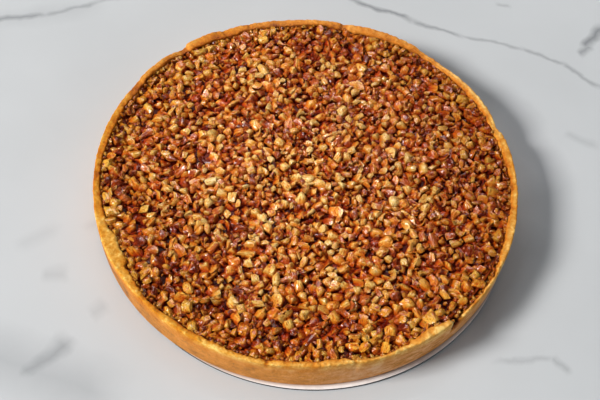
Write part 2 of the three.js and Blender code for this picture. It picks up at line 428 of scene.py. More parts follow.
def arc(centre, size, start, end, steps):
    # Places on a quarter round, as radius and height, with angles in degrees.
    turns = [math.radians(start + (end - start) * i / steps) for i in range(steps + 1)]
    return [(centre[0] + size * math.cos(t), centre[1] + size * math.sin(t)) for t in turns]


def discMaterial():
    material, tree, shader = newMaterial("paleTinplate")
    place = ownPlace(tree)
    streaks = noiseNode(tree, scaledPlace(tree, place, disc["streakScale"]), *disc["streaks"])
    colour = blendColours(tree, fromNoise(tree, streaks), disc["bright"], disc["dull"])
    # Painted shade: the tin darkens close to the pastry's foot, where the pie shades it.
    footShade = overBand(tree, distanceOut(tree, place), disc["footShadeOut"], 0.9, 0.0)
    colour = blendColours(tree, footShade, colour, disc["footShade"])
    # Painted shade: the tin's edge is near-black up to its top round, for the shadow in the gap under the
    # ledge.
    edgeShade = overBand(tree, heightOf(tree, place), disc["edgeShadeTop"], 1.0, 0.0)
    setInputs(tree, shader, {
        "Base Color": blendColours(tree, edgeShade, colour, disc["edgeShade"]),
        "Roughness": fromNoise(tree, streaks, 0.3, 0.45),
        "Specular IOR Level": 0.1,
    })
    return material


def addDisc():
    low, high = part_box("tin_base")
    radius = (high.x - low.x) / 2 / mm
    top = high.z / mm
    gap, size = disc["ledgeGap"], disc["edgeRound"]
    foot = radius - disc["ledgeWidth"]
    section = [(foot - disc["innerRing"], 0), (foot, 0), (foot + gap, gap)]
    section += arc((radius - size, gap + size), size, -90, 0, disc["edgeSteps"])
    section += arc((radius - size, top - size), size, 0, 90, disc["edgeSteps"])
    section += [(foot - disc["topRing"], top), (foot - disc["innerRing"], top)]
    ringsFrom(section, disc["segments"])
    piece = newestPiece("tinDisc")
    points = readPoints(piece.data)
    points[:, :2] += disc["shift"]
    writePoints(piece.data, points)
    piece.data.materials.append(discMaterial())
    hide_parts("tin_base")
    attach(piece, "root")


addDisc()
print("tin base made")


# Pastry shell. Angles are in degrees from +X towards +Y, and the other sizes in millimetres.
crust = {
    "steps": 1440,
    "bottomRadius": 139.6,
    "topRadius": 139.8,
    "belly": 0.3,
    "rimTop": 26.9,
    "rimWidth": 4.0,
    "outerRound": 0.9,
    "innerRound": 0.9,
    "innerDrop": 0.2,
    "footRound": 0.9,
    "roundSteps": (4, 5, 4),  # at the foot, the outer edge and the inner edge
    "wall": 4.2,
    "wallFoot": 7.0,
    "wallRows": 28,
    "core": 70,  # radius of the inner ring of the hidden faces
    "underRing": 120,
    "lip": [(0, 2.0), (0, 2.6), (0.1, 3.2)],  # the rim's inner face: how far outwards, how far down
    "lipFoot": (4.2, 5.4),
    "bendIn": 0.8,
    "bendHeight": 15,
    "waves": {
        "rise": [(2, 0.15, 3.6), (5, 0.2, 1.1), (13, 0.2, 0)],
        "out": [(2, 0.2, 1.57), (7, 0.15, 0.4)],
        "wide": [(4, 0.25, 1.3), (9, 0.3, 2.2)],
    },
    # from, to, degrees that it takes to come on, rise, out, wide
    "folds": [
        (4, 21, 8, 0.3, 0.1, 1.6),
        (27, 44, 4, 0.5, 0.2, 0.5),
        (57, 81, 3, 1.0, 0.3, 0.8),
        (114, 132.5, 12, 1.7, 0.6, 0.6),
        (136, 151, 4, 0.9, 0.4, 0),
        (203, 217, 4, 0.5, 0.2, 3.2),
        (264.5, 287, 4, 0.7, -0.5, -0.8),
        (276.5, 285, 3, 0.4, 0, 1.3),
        (286.5, 297, 3, 0.2, 0.3, -0.5),
        (299, 313.4, 6, 1.4, 0.6, 2.2),
        (307, 314.4, 6, 0, 0, -2.2),
        (316, 334, 3, -0.5, 0.4, 0),
        (334, 352, 4, 0.3, 0.4, 1.4),
    ],
    "foldEnd": 1.0,
    # how much wider the rim is than that, as angle and width
    "wider": [
        (0, 0), (60, 0.3), (70, 1), (84, 0.9), (90, 0.3), (100, 1.8), (110, 0.3), (118, 2.5), (125, 2.8),
        (131, 2.2), (138, 0.2), (160, 0.3), (170, 1.3), (180, 0.2), (190, 0), (200, 1.2), (207, 1.8),
        (214, 2), (221, 1.8), (227, -0.4), (231, -1), (237, -0.2), (250, 0.4), (256, -0.8), (262, -1.3),
        (268, 0), (275, -0.3), (282, -0.9), (292, -1.8), (298, -1), (305, -0.2), (312, -0.4), (317, -2),
        (325, -2.2), (332, -2), (338, -0.9), (345, -0.5), (352, 0),
    ],
    # at, half width, drop
    "nicks": [
        (22.5, 4, 2.3), (50, 6, 0.8), (55.5, 2.5, 0.8), (79, 5, 0.9), (82.5, 1.8, 1.2),
        (101, 12, 0.5), (111.5, 1.5, 0.6), (119.5, 4, 1.4), (134.2, 2.2, 1.1), (155, 4.5, 0.8),
        (227, 1.8, 0.7), (264, 1.5, 0.7), (285.8, 0.8, 0.6),
    ],
    "nickBack": 0.3,
    # where a piece has broken out of the rim: at, half width before and after that, drop
    "bites": [(314.4, 0.7, 4.4, 8.5)],
    # at the rim, degrees that it leans for each millimetre down, its length down, half width, depth
    "cracks": [(314.0, 0.03, 16, 0.7, 2.0)],
    "crackFade": 0.6,  # share of its length at which a crack starts to fade
    "crackShadeStrength": 1.7,
    # where syrup ran over the rim: at, half width, how dark
    "stains": [
        (82.5, 2, 0.3), (104, 3, 0.2), (134, 1.6, 0.35), (154.5, 4, 0.25), (186, 9, 0.1),
        (227.5, 1.4, 0.15), (264, 0.7, 0.35), (285.8, 0.5, 0.25), (315.2, 1.8, 0.3),
    ],
    "stainCore": 0.3,
    "ragged": (3.2, 0.7),  # lumps of the inner edge, and how far they reach
    # size along the rim, size across it, depth on the wall, depth on the rim
    "grains": [
        (15, 15, 0.2, 0.2),
        (9, 1.4, 0.2, 0.1),
        (4.5, 4.5, 0.1, 0.3),
        (2.1, 2.1, 0.07, 0.4),
        (1.1, 1.1, 0.05, 0.22),
    ],
    # where each effect comes on: heights, then radii, then a share of the rim's width
    "bands": {
        "folded": (6, 25),
        "widened": (21, 24.5),
        "rimGrain": (24, 26.4),
        "grainUp": (2.2, 4),
        "soaked": (23.2, 25.4),
        "stained": (21, 25.8),
        "rimShade": (15, 26.4),
        "innerUp": (22, 24),
        "grainOut": (128, 133),
        "outside": (134, 137.5),
        "innerShade": (0.35, 1.1),
    },
    "lumpShade": 0.28,
    "soakShade": 0.15,
    # how brown it is round the wall and round the rim, from 0 to 1 at those angles. The wall is browner on
    # its lit front left and paler on its shaded front right, and the rim's inner face is paler where it is
    # shaded at the back and left: partly uneven bake, partly painted light that evens out the shade. The
    # rim's broken face at 314.6 is darker: painted shade.
    "browningAndShading": {
        "wall": [
            (0, 0.05), (60, 0.2), (120, 0.3), (180, 0.65), (215, 0.76), (225, 0.68), (245, 0.57),
            (265, 0.58), (275, 0.46), (285, 0.24), (295, 0.3), (305, 0.36), (325, 0.24), (345, 0),
        ],
        "rim": [
            (0, 0.2), (15, 0.27), (25, 0.25), (32, 0.15), (45, 0.17), (60, 0.38), (80, 0.39), (100, 0.41),
            (120, 0.45), (130, 0.33), (150, 0.33), (165, 0.32), (180, 0.34), (195, 0.34), (206, 0.2),
            (219, 0.17), (226, 0.28), (240, 0.24), (255, 0.14), (262, 0.14), (270, 0.24), (282, 0.2),
            (290, 0.16), (300, 0.2), (306, 0.1), (313, 0.04), (314.6, 0.5), (320, 0.26), (332, 0.16),
            (340, 0.17),
        ],
        "inner": [
            (0, 0.45), (20, 0.2), (40, 0.5), (60, 0.15), (100, 0.2), (130, 0.3), (160, 0.2), (200, 0.1),
            (210, -0.1), (220, 0.25), (240, 0.4), (290, 0.4), (313, 0.3), (325, 0.3), (345, 0.45),
        ],
        "golden": [
            (0, 0.9), (20, 0.85), (45, 0.7), (75, 0.65), (90, 0.65), (105, 0.55), (120, 0.9), (135, 0.75),
            (150, 0.8), (165, 1), (250, 1), (275, 0.85), (330, 0.8),
        ],
        "flaky": [(0, 0.3), (180, 0), (260, 0), (285, 0.3), (298, 1), (325, 1), (340, 0.5)],
    },
    # from pale to burnt, at those shares
    "wallColours": [
        (0.0, (232, 178, 128)), (0.25, (222, 156, 98)), (0.5, (206, 134, 58)),
        (0.72, (170, 112, 54)), (0.88, (104, 48, 22)), (1.0, (50, 16, 6)),
    ],
    "rimColours": [
        (0.0, (240, 200, 108)), (0.12, (224, 163, 68)), (0.28, (208, 137, 36)), (0.5, (190, 106, 14)),
        (0.72, (158, 76, 10)), (0.88, (112, 42, 8)), (1.0, (56, 14, 4)),
    ],
    # scale, detail, roughness
    "patches": (110, 4, 0.6),
    "specks": (800, 3, 0.6),
    "streaks": (3, 5, 0.65),
    "streakScale": (45, 45, 120),
}


def crustSection():
    foot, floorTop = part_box("crust")[0].z / mm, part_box("pecan_filling")[0].z / mm
    bottom, top, rimTop = crust["bottomRadius"], crust["topRadius"], crust["rimTop"]
    outer, inside, size = crust["outerRound"], crust["innerRound"], crust["footRound"]
    footSteps, outerSteps, innerSteps = crust["roundSteps"]
    inner, wallInner = top - crust["rimWidth"], top - crust["wall"]
    section = [(crust["core"], foot), (crust["underRing"], foot)]
    section += arc((bottom - size, foot + size), size, -90, 0, footSteps)
    for height in np.linspace(foot + size, rimTop - outer, crust["wallRows"])[1:-1]:
        share = (height - foot) / (rimTop - foot)
        bulge = crust["belly"] * math.sin(math.pi * share)
        section.append((bottom + (top - bottom) * share + bulge, height))
    section += arc((top - outer, rimTop - outer), outer, 0, 90, outerSteps)
    flat, drop = inner + inside - top + outer, crust["innerDrop"]
    section += [(top - outer + flat * share, rimTop - drop * share) for share in (0.25, 0.5, 0.75)]
    section += arc((inner + inside, rimTop - inside - drop), inside, 90, 180, innerSteps)
    section += [(inner + outwards, rimTop - down) for outwards, down in crust["lip"]]
    section += [(wallInner, rimTop - down) for down in crust["lipFoot"]]
    section.append((wallInner - crust["bendIn"], crust["bendHeight"]))
    section += [(bottom - crust["wallFoot"], floorTop), (crust["core"], floorTop)]
    return section


def rimChange(angles):
    # How far the rim rises, leans out and widens at those angles.
    changes = {}
    for key, waves in crust["waves"].items():
        changes[key] = sum(size * np.sin(np.radians(times * angles) + phase) for times, size, phase in waves)
    for start, end, comesOn, rise, out, wide in crust["folds"]:
        share = smoothStep(start, start + comesOn, angles) - smoothStep(end - crust["foldEnd"], end, angles)
        changes["rise"] += rise * share
        changes["out"] += out * share
        changes["wide"] += wide * share
    for at, half, drop in crust["nicks"]:
        near = np.clip(1 - np.abs(angles - at) / half, 0, 1)
        changes["rise"] -= drop * near
        changes["out"] -= crust["nickBack"] * drop * near
    for at, before, after, drop in crust["bites"]:
        half = np.where(angles < at, before, after)
        changes["rise"] -= drop * np.clip(1 - np.abs(angles - at) / half, 0, 1)
    changes["wide"] += np.interp(angles, *zip(*crust["wider"]), period=360)
    return changes["rise"], changes["out"], changes["wide"]


def innerEdge(angles):
    # How far out the rim's inner edge is, and how high the rim rises there.
    rise, out, wide = rimChange(angles)
    return crust["topRadius"] - crust["rimWidth"] + out - wide, rise


def crackDepth(angles, height):
    # How deep the cracks cut at each place, and how strong they are there from 0 to 1; that strength is
    # painted shade, near-black in the crack.
    depth, strength = np.zeros(len(angles)), np.zeros(len(angles))
    for at, lean, length, half, cut in crust["cracks"]:
        below = np.clip(crust["rimTop"] - height, 0, None)
        fade = smoothStep(length * crust["crackFade"], length, below)
        near = np.clip(1 - np.abs(angles - (at - lean * below)) / half, 0, 1) * (1 - fade)
        depth += cut * near
        strength = np.maximum(strength, np.clip(near * crust["crackShadeStrength"], 0, 1))
    return depth, strength


def crustMaterial():
    material, tree, shader = newMaterial("bakedPastry")
    place = ownPlace(tree)
    bakeAndShading, flaky, rim = (attributeNode(tree, name).outputs["Fac"] for name in ("bakeAndShading", "flaky", "rim"))
    patches = noiseNode(tree, place, *crust["patches"])
    specks = noiseNode(tree, place, *crust["specks"])
    streaks = noiseNode(tree, scaledPlace(tree, place, crust["streakScale"]), *crust["streaks"])
    blotches = fromNoise(tree, patches, -0.15, 0.15)
    blotches = sums(tree, "MULTIPLY", blotches, stretch(tree, rim, 0, 1, 1, 1.5))
    tone = sums(tree, "ADD", bakeAndShading, blotches)
    tone = sums(tree, "ADD", tone, fromNoise(tree, specks, -0.1, 0.1))
    tone = sums(tree, "ADD", tone, fromNoise(tree, streaks, -0.05, 0.05))
    flakes = sums(tree, "MULTIPLY", flaky, stretch(tree, streaks, 0.32, 0.68, -0.36, 0.36))
    tone = sums(tree, "ADD", tone, flakes)
    wall = rampColour(tree, tone, crust["wallColours"])
    edge = rampColour(tree, tone, crust["rimColours"])
    setInputs(tree, shader, {
        "Base Color": blendColours(tree, rim, wall, edge),
        "Roughness": stretch(tree, tone, 0.7, 1.0, 0.6, 0.25),
        "Normal": bump(tree, sums(tree, "ADD", specks, streaks), 0.4, 0.0005),
        "Specular IOR Level": 0.1,
        "Specular Tint": (1.0, 0.8, 0.55, 1),
    })
    return material


def addCrust():
    ringsFrom(crustSection(), crust["steps"])
    piece = newestPiece("pastryShell")
    points = readPoints(piece.data)
    bands = crust["bands"]
    radius = np.hypot(points[:, 0], points[:, 1])
    angles = np.degrees(np.arctan2(points[:, 1], points[:, 0])) % 360
    height = points[:, 2].copy()
    turn = np.stack([np.cos(np.radians(angles)), np.sin(np.radians(angles)), np.zeros(len(angles))], 1)
    rise, out, wide = rimChange(angles)
    size, reach = crust["ragged"]
    wide += noiseAt(turn * crust["topRadius"], size, seed=9) * reach
    up = smoothStep(*bands["folded"], height)
    inward = (crust["topRadius"] - radius) / crust["rimWidth"]
    outer = crust["outerRound"] / crust["rimWidth"]
    inside = np.clip((inward - outer) / (1 - outer), 0, 1) * smoothStep(*bands["widened"], height)
    points[:, 2] += rise * up
    points += turn * (out * up - wide * inside)[:, None]
    writePoints(piece.data, points)

    normals = np.empty(len(points) * 3)
    piece.data.vertices.foreach_get("normal", normals)
    onTop = smoothStep(*bands["rimGrain"], height)
    lumps = np.zeros(len(points))
    for seed, (along, across, wallDepth, rimDepth) in enumerate(crust["grains"]):
        stretched = points * (1 / along, 1 / along, 1 / across)
        lumps += noiseAt(stretched, 1, seed + 1) * (wallDepth + (rimDepth - wallDepth) * onTop)
    depth, crackShade = crackDepth(angles, points[:, 2])
    outside = smoothStep(*bands["outside"], radius)
    lumps -= depth * outside
    shown = smoothStep(*bands["grainOut"], radius) * smoothStep(*bands["grainUp"], height)
    points += normals.reshape(-1, 3) * (lumps * shown)[:, None]
    writePoints(piece.data, points)

    soaked = inside * (1 - smoothStep(*bands["soaked"], height))
    stain = np.zeros(len(points))
    for at, half, dark in crust["stains"]:
        fade = smoothStep(crust["stainCore"] * half, half, np.abs(angles - at))
        stain = np.maximum(stain, dark * (1 - fade))
    stain *= smoothStep(*bands["stained"], height)
    tables = crust["browningAndShading"].values()
    wall, rim, inner, golden, flaky = (np.interp(angles, *zip(*places), period=360) for places in tables)
    high = smoothStep(*bands["rimShade"], height)
    inner *= smoothStep(*bands["innerShade"], inward) * smoothStep(*bands["innerUp"], height)
    # Painted shade: the bake rises in the hollows of the lumps and in the cracks and falls on the lumps, and
    # the cracks are painted near-black.
    bakeAndShading = wall + (rim - wall) * high - lumps * crust["lumpShade"] + inner + crust["soakShade"] * soaked
    bakeAndShading = np.maximum(bakeAndShading + stain, crackShade * outside)
    writeValues(piece.data, "bakeAndShading", np.clip(bakeAndShading, 0, 1))
    writeValues(piece.data, "rim", np.maximum(high, inside) * golden)
    writeValues(piece.data, "flaky", flaky * (1 - high))
    piece.data.materials.append(crustMaterial())
    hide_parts("crust")
    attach(piece, "root")


addCrust()
print("pastry shell made")


# Syrup: the filling's own body, up to the dark glaze that shows between the nuts.
syrup = {
    "segments": 240,
    "level": 21.7,
    "rings": 46,
    "middleRing": 3,
    "wallGap": 0.3,
    "edgeRise": 3.0,
    "edgeBand": 3,
    "waves": [(22, 0.35), (7, 0.45), (3, 0.2)],  # size and depth
    "cloud": (260, 3),  # scale and detail
    # near-black: partly the syrup's own colour, partly painted shade of the gaps between the nuts
    "deep": screenColour(44, 3, 1),
    "amber": screenColour(96, 16, 1),
    # lighter near the rim: partly thinner syrup, partly painted light in the rim's shadow
    "thin": screenColour(146, 56, 14),
    "thinOut": (127, 134),
}


def syrupMaterial():
    material, tree, shader = newMaterial("darkSyrup")
    place = ownPlace(tree)
    # The syrup is near-black, partly its own colour and partly painted shade of the gaps between the nuts.
    cloud = stretch(tree, noiseNode(tree, place, *syrup["cloud"]), 0.35, 0.65)
    colour = blendColours(tree, cloud, syrup["deep"], syrup["amber"])
    # Lighter towards the rim: partly thinner syrup, partly painted light in the rim's shadow.
    thin = overBand(tree, distanceOut(tree, place), syrup["thinOut"])
    setInputs(tree, shader, {
        "Base Color": blendColours(tree, thin, colour, syrup["thin"]),
        "Roughness": 0.4,
        "Specular IOR Level": 0.04,
    })
    return material


def addSyrup():
    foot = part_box("pecan_filling")[0].z / mm
    low = crust["bottomRadius"] - crust["wallFoot"] - syrup["wallGap"]
    edge = crust["topRadius"] - crust["wall"] - syrup["wallGap"]
    level = syrup["level"]
    section = [(crust["core"], foot), (low, foot), (edge - crust["bendIn"], crust["bendHeight"])]
    section += [(edge, level - 1), (edge, level)]
    section += [(radius, level) for radius in np.linspace(edge, syrup["middleRing"], syrup["rings"])[1:]]
    ringsFrom(section, syrup["segments"])
    piece = newestPiece("syrupFilling")
    points = readPoints(piece.data)
    radius = np.hypot(points[:, 0], points[:, 1])
    top = smoothStep(level - 1, level, points[:, 2])
    lift = sum(noiseAt(points, size, seed) * depth for seed, (size, depth) in enumerate(syrup["waves"]))
    lift += syrup["edgeRise"] * smoothStep(edge - syrup["edgeBand"], edge, radius)
    points[:, 2] += top * lift
    writePoints(piece.data, points)
    piece.data.materials.append(syrupMaterial())
    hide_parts("pecan_filling")
    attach(piece, "root")


addSyrup()
print("syrup made")


# Chopped pecans. Lengths are in millimetres, shares are of a piece's length or width, and turns in degrees.
pecans = {
    "seed": 7,
    "shapes": 40,
    "slender": 1.8,
    "ridges": (5, 0.07),  # how many round a piece, and their depth
    "lumps": [(0.8, 0.2), (0.36, 0.18)],  # size and depth
    "lobes": 12,  # how many of the shapes are whole lobes
    "lobeWidth": 0.6,
    "lobeCurl": 0.25,
    "groove": (0.22, 0.4),  # width and depth
    "endSlant": 0.32,
    "endDepth": (0.3, 0.7),
    "splits": (0, 2),
    "splitSlant": 0.3,
    "splitDepth": (0.15, 0.8),
    "softness": 0.07,
    "chopped": (-0.14, -0.04),  # how near a cut the skin ends
    "faces": 82,
    "sharpAngle": 52,
    "widthShare": (0.6, 1.0),
    "heightShare": (0.7, 1.0),
    "drawn": 5000,
    "rounds": 60,
    "pairRounds": 5,  # rounds between two searches for near pairs
    "pairMargin": 1,
    "push": 0.45,
    "reach": 136.3,
    "startInside": 4,
    "startJitter": 1.5,
    "overlap": 0.5,  # of the pieces with the rim
    # name, share of the area covered, mean length, its spread, shortest, longest, squeeze, tilt,
    # top, its spread
    "layers": [
        ("pecanBed", 1.1, 6.6, 0.18, 4.4, 10.0, 0.8, 24, 24.5, 0.7),
        ("choppedPecans", 0.84, 7.3, 0.22, 4.6, 12.0, 0.9, 24, 26.1, 0.65),
    ],
    "swell": (26, 0.5),  # size and height of the waves of the top
    "edgeRise": 0.9,
    "edgeBand": (118, 130),
    "rimShare": 0.5,  # how much of the rim's own rise the pieces beside it follow
    "rimLimits": (-1, 2),
    "skinned": 0.4,
    "bits": 600,
    "ringBits": 320,
    "bitInside": 2,
    "bitGrid": 2.0,
    "bitApart": 2.6,
    "bitHalf": (0.9, 2.0),
    "bitShare": (0.6, 1.2),
    "bitTop": (24.2, 25.9),
    "ringTop": (25.0, 26.6),
    "ringTurn": 0.006,  # radians
    "ringInside": (0.8, 2.4),
    "bitTilt": 40,
    "toneShift": 91.0,  # moves the pattern of one piece away from the next one's
    # scale, detail, roughness
    "blotches": (1.2, 3, 0.55),
    "fine": (4.0, 4, 0.65),
    "ridgeScale": (0.9, 3.6, 3.6),
    "ridgeNoise": (1.0, 3, 0.6),
    "wetNoise": (0.8, 1),
    "fleshColours": [
        (0.0, (244, 209, 130)), (0.35, (245, 192, 101)), (0.7, (240, 165, 70)), (1.0, (214, 117, 43)),
    ],
    "skinColours": [(0.0, (212, 126, 67)), (0.5, (170, 79, 39)), (1.0, (110, 35, 14))],
    # darker and redder low down and in creases: partly syrup, partly painted shade
    "syrupAndShadeColours": [
        (0.0, (255, 255, 255)), (0.33, (228, 186, 118)), (0.66, (208, 124, 34)), (1.0, (180, 66, 2)),
    ],
    # painted shade towards the rim, standing in for a broad sheen over the middle
    "outerPaintedShade": screenColour(255, 230, 158),
    # painted shade on the pieces towards the back right, away from the key light
    "sidePaintedShade": screenColour(226, 212, 200),
    # near-black low in the gaps: partly syrup, partly painted shade
    "deep": screenColour(64, 4, 0),
    # heights, then distances out and to one side
    "syrupAndShadeBand": (22.4, 25.8),
    "deepBand": (21.4, 23.6),
    "coatBand": (22.6, 25.2),
    "outerPaintedShadeBand": (60, 130),
    "sidePaintedShadeBand": (-30, 120),
    "sidePaintedShadeWay": (0.8, 0.6, 0),
}


def pecanShape(index, draw):
    # One chopped piece, 2 units long each way: a length of ridged lobe, pressed flat where it was chopped.
    startPiece()
    bpy.ops.mesh.primitive_ico_sphere_add(subdivisions=3, radius=mm)
    piece = newestPiece(f"pecanShape{index:02d}")
    points = readPoints(piece.data)
    times, depth = pecans["ridges"]
    points[:, 1:] *= 1 + depth * np.cos(times * np.arctan2(points[:, 2], points[:, 1]) + index)[:, None]
    points[:, 0] *= pecans["slender"]
    swell = sum(noiseAt(points, size, index * 3.1 + size) * depth for size, depth in pecans["lumps"])
    points *= 1 + swell[:, None]
    if index < pecans["lobes"]:  # a curled lobe with a groove along it
        width, depth = pecans["groove"]
        points[:, 1] *= pecans["lobeWidth"]
        points[:, 2] -= depth * np.exp(-((points[:, 1] / width) ** 2)) * (points[:, 2] > 0)
        points[:, 1] += pecans["lobeCurl"] * points[:, 0] ** 2
    middle = points.mean(0)
    cuts = []
    for side in (-1, 1):
        slant = draw.normal(scale=pecans["endSlant"], size=3)
        cuts.append((np.array((side, 0, 0)) + slant, "endDepth"))
    for _ in range(draw.integers(*pecans["splits"], endpoint=True)):
        turn = draw.uniform(0, 2 * math.pi)
        slant = draw.normal(scale=pecans["splitSlant"])
        cuts.append((np.array((slant, math.cos(turn), math.sin(turn))), "splitDepth"))
    chops = []
    for way, depth in cuts:
        way /= np.linalg.norm(way)
        level = middle @ way + np.abs((points - middle) @ way).max() * draw.uniform(*pecans[depth])
        chops.append((way, level))
        over = np.logaddexp(0, (points @ way - level) / pecans["softness"]) * pecans["softness"]
        points -= over[:, None] * way
    writePoints(piece.data, points)
    fewer = piece.modifiers.new("fewer", "DECIMATE")
    fewer.ratio = pecans["faces"] / len(piece.data.polygons)
    applyModifiers(piece)
    points = readPoints(piece.data)
    flat = np.max([smoothStep(*pecans["chopped"], points @ way - level) for way, level in chops], 0)
    low, high = points.min(0), points.max(0)
    points = (points - (low + high) / 2) / ((high - low) / 2)
    writePoints(piece.data, points)
    writeValues(piece.data, "skin", 1 - flat)
    writeValues(piece.data, "grain", points, "FLOAT_VECTOR")
    bpy.ops.object.shade_smooth_by_angle(angle=math.radians(pecans["sharpAngle"]))
    return piece, points


def reachTowards(bearing, turn, half, side):
    # How far an outline of that half length and half width reaches in a direction.
    a = bearing - turn
    return half * side / np.sqrt((side * np.cos(a)) ** 2 + (half * np.sin(a)) ** 2)


def bearingOf(places):
    return np.arctan2(places[:, 1], places[:, 0])


def spreadOut(places, turns, halves, sides, squeeze):
    # Pushes overlapping outlines apart, round after round, inside the shell.
    for step in range(pecans["rounds"]):
        if step % pecans["pairRounds"] == 0:
            gaps = places[:, None, :] - places[None, :, :]
            reach = halves[:, None] + halves[None, :] + pecans["pairMargin"]
            near = np.hypot(gaps[..., 0], gaps[..., 1]) < reach
            first, second = np.nonzero(np.triu(near, 1))
        way = places[second] - places[first]
        apart = np.hypot(way[:, 0], way[:, 1]) + 1e-6
        bearing = bearingOf(way)
        want = reachTowards(bearing, turns[first], halves[first], sides[first])
        want += reachTowards(bearing, turns[second], halves[second], sides[second])
        push = np.clip(want * squeeze - apart, 0, None) * pecans["push"]
        shift = way / apart[:, None] * push[:, None]
        np.add.at(places, first, -shift)
        np.add.at(places, second, shift)
        bearing = bearingOf(places)
        edge = innerEdge(np.degrees(bearing) % 360)[0]
        limit = edge + pecans["overlap"] - reachTowards(bearing, turns, halves, sides)
        places *= np.minimum(1, limit / np.hypot(places[:, 0], places[:, 1]))[:, None]
    return places


def gapsBetween(draw, places, turns, halves, sides):
    # The places with most room round them between the pieces, and that room, the roomiest first.
    line = np.arange(-pecans["reach"], pecans["reach"], pecans["bitGrid"])
    grid = np.stack(np.meshgrid(line, line), -1).reshape(-1, 2)
    grid += draw.uniform(-0.5, 0.5, size=grid.shape) * pecans["bitGrid"]
    grid = grid[np.hypot(*grid.T) < pecans["reach"] - pecans["bitInside"]]
    room = np.empty(len(grid))
    batch = 1000
    for start in range(0, len(grid), batch):
        part = slice(start, start + batch)
        way = grid[part, None, :] - places[None, :, :]
        bearing = np.arctan2(way[..., 1], way[..., 0])
        clear = np.hypot(way[..., 0], way[..., 1]) - reachTowards(bearing, turns, halves, sides)
        room[part] = clear.min(1)
    taken, rooms = [], []
    for index in np.argsort(-room):
        if len(taken) == pecans["bits"]:
            break
        spot, clear = grid[index], room[index]
        if not taken or np.hypot(*(np.array(taken) - spot).T).min() > pecans["bitApart"]:
            taken.append(spot)
            rooms.append(clear)
    return np.array(taken), np.array(rooms)


def turned(rolls, pitches, turns):
    # Matrices that roll about X, then pitch about Y, then turn about Z, as an XYZ rotation does.
    cx, sx, cy, sy = np.cos(rolls), np.sin(rolls), np.cos(pitches), np.sin(pitches)
    cz, sz = np.cos(turns), np.sin(turns)
    rows = [
        [cz * cy, cz * sy * sx - sz * cx, cz * sy * cx + sz * sx],
        [sz * cy, sz * sy * sx + cz * cx, sz * sy * cx - cz * sx],
        [-sy, cy * sx, cy * cx],
    ]
    return np.moveaxis(np.array(rows), 2, 0)


def drawPieces(draw, lengths, tilt):
    # Half sizes, kinds and turns of pieces of those lengths, before they have a place.
    count = len(lengths)
    widths = lengths * draw.uniform(*pecans["widthShare"], size=count)
    heights = widths * draw.uniform(*pecans["heightShare"], size=count)
    rolls = draw.uniform(0, 2 * math.pi, size=count)
    pitches = np.radians(draw.normal(scale=tilt, size=count))
    turns = draw.uniform(0, math.pi, size=count)
    halves = np.stack([lengths, widths, heights], 1) / 2
    kinds = draw.integers(0, pecans["shapes"], size=count)
    return halves, kinds, np.stack([rolls, pitches, turns], 1)


def topsOf(solids, kinds, halves, angles):
    # How far each turned piece reaches above its own middle.
    ways = turned(*angles.T)[:, 2, :] * halves
    return np.array([(solids[kind] @ way).max() for kind, way in zip(kinds, ways)])


def scatterTree(name, shapes, material):
    # A node group that puts a copied shape on each point and makes all of them real.
    tree = bpy.data.node_groups.new(name, "GeometryNodeTree")
    for way in ("INPUT", "OUTPUT"):
        tree.interface.new_socket("Geometry", in_out=way, socket_type="NodeSocketGeometry")

    def named(title, kind):
        node = newNode(tree, "GeometryNodeInputNamedAttribute", {"Name": title}, data_type=kind)
        return node.outputs["Attribute"]

    points = newNode(tree, "NodeGroupInput", {}).outputs[0]
    kept = newNode(tree, "GeometryNodeCollectionInfo", {
        "Collection": shapes, "Separate Children": True, "Reset Children": True})
    spin = newNode(tree, "FunctionNodeEulerToRotation", {0: named("turn", "FLOAT_VECTOR")}).outputs[0]
    copies = newNode(tree, "GeometryNodeInstanceOnPoints", {
        "Points": points,
        "Instance": kept.outputs[0],
        "Pick Instance": True,
        "Instance Index": named("kind", "INT"),
        "Rotation": spin,
        "Scale": named("size", "FLOAT_VECTOR"),
    })
    real = newNode(tree, "GeometryNodeRealizeInstances", {"Geometry": copies.outputs[0]}).outputs[0]
    for title in ("turn", "kind", "size"):
        real = newNode(tree, "GeometryNodeRemoveAttribute", {0: real, "Name": title}).outputs[0]
    painted = newNode(tree, "GeometryNodeSetMaterial", {"Geometry": real, "Material": material}).outputs[0]
    newNode(tree, "NodeGroupOutput", {0: painted})
    return tree


def scatterPieces(name, places, halves, kinds, angles, values, shapes, material):
    mesh = bpy.data.meshes.new(name)
    mesh.from_pydata((places * mm).tolist(), [], [])
    writeValues(mesh, "turn", angles, "FLOAT_VECTOR")
    writeValues(mesh, "size", halves, "FLOAT_VECTOR")
    numbers = mesh.attributes.new("kind", "INT", "POINT")
    numbers.data.foreach_set("value", kinds.astype(int))
    for title, numbers in values.items():
        writeValues(mesh, title, numbers)
    piece = bpy.data.objects.new(name, mesh)
    bpy.context.collection.objects.link(piece)
    scatter = piece.modifiers.new("scatter", "NODES")
    scatter.node_group = scatterTree(name + "Copies", shapes, material)
    applyModifiers(piece)
    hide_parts("pecan_filling")
    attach(piece, "root")


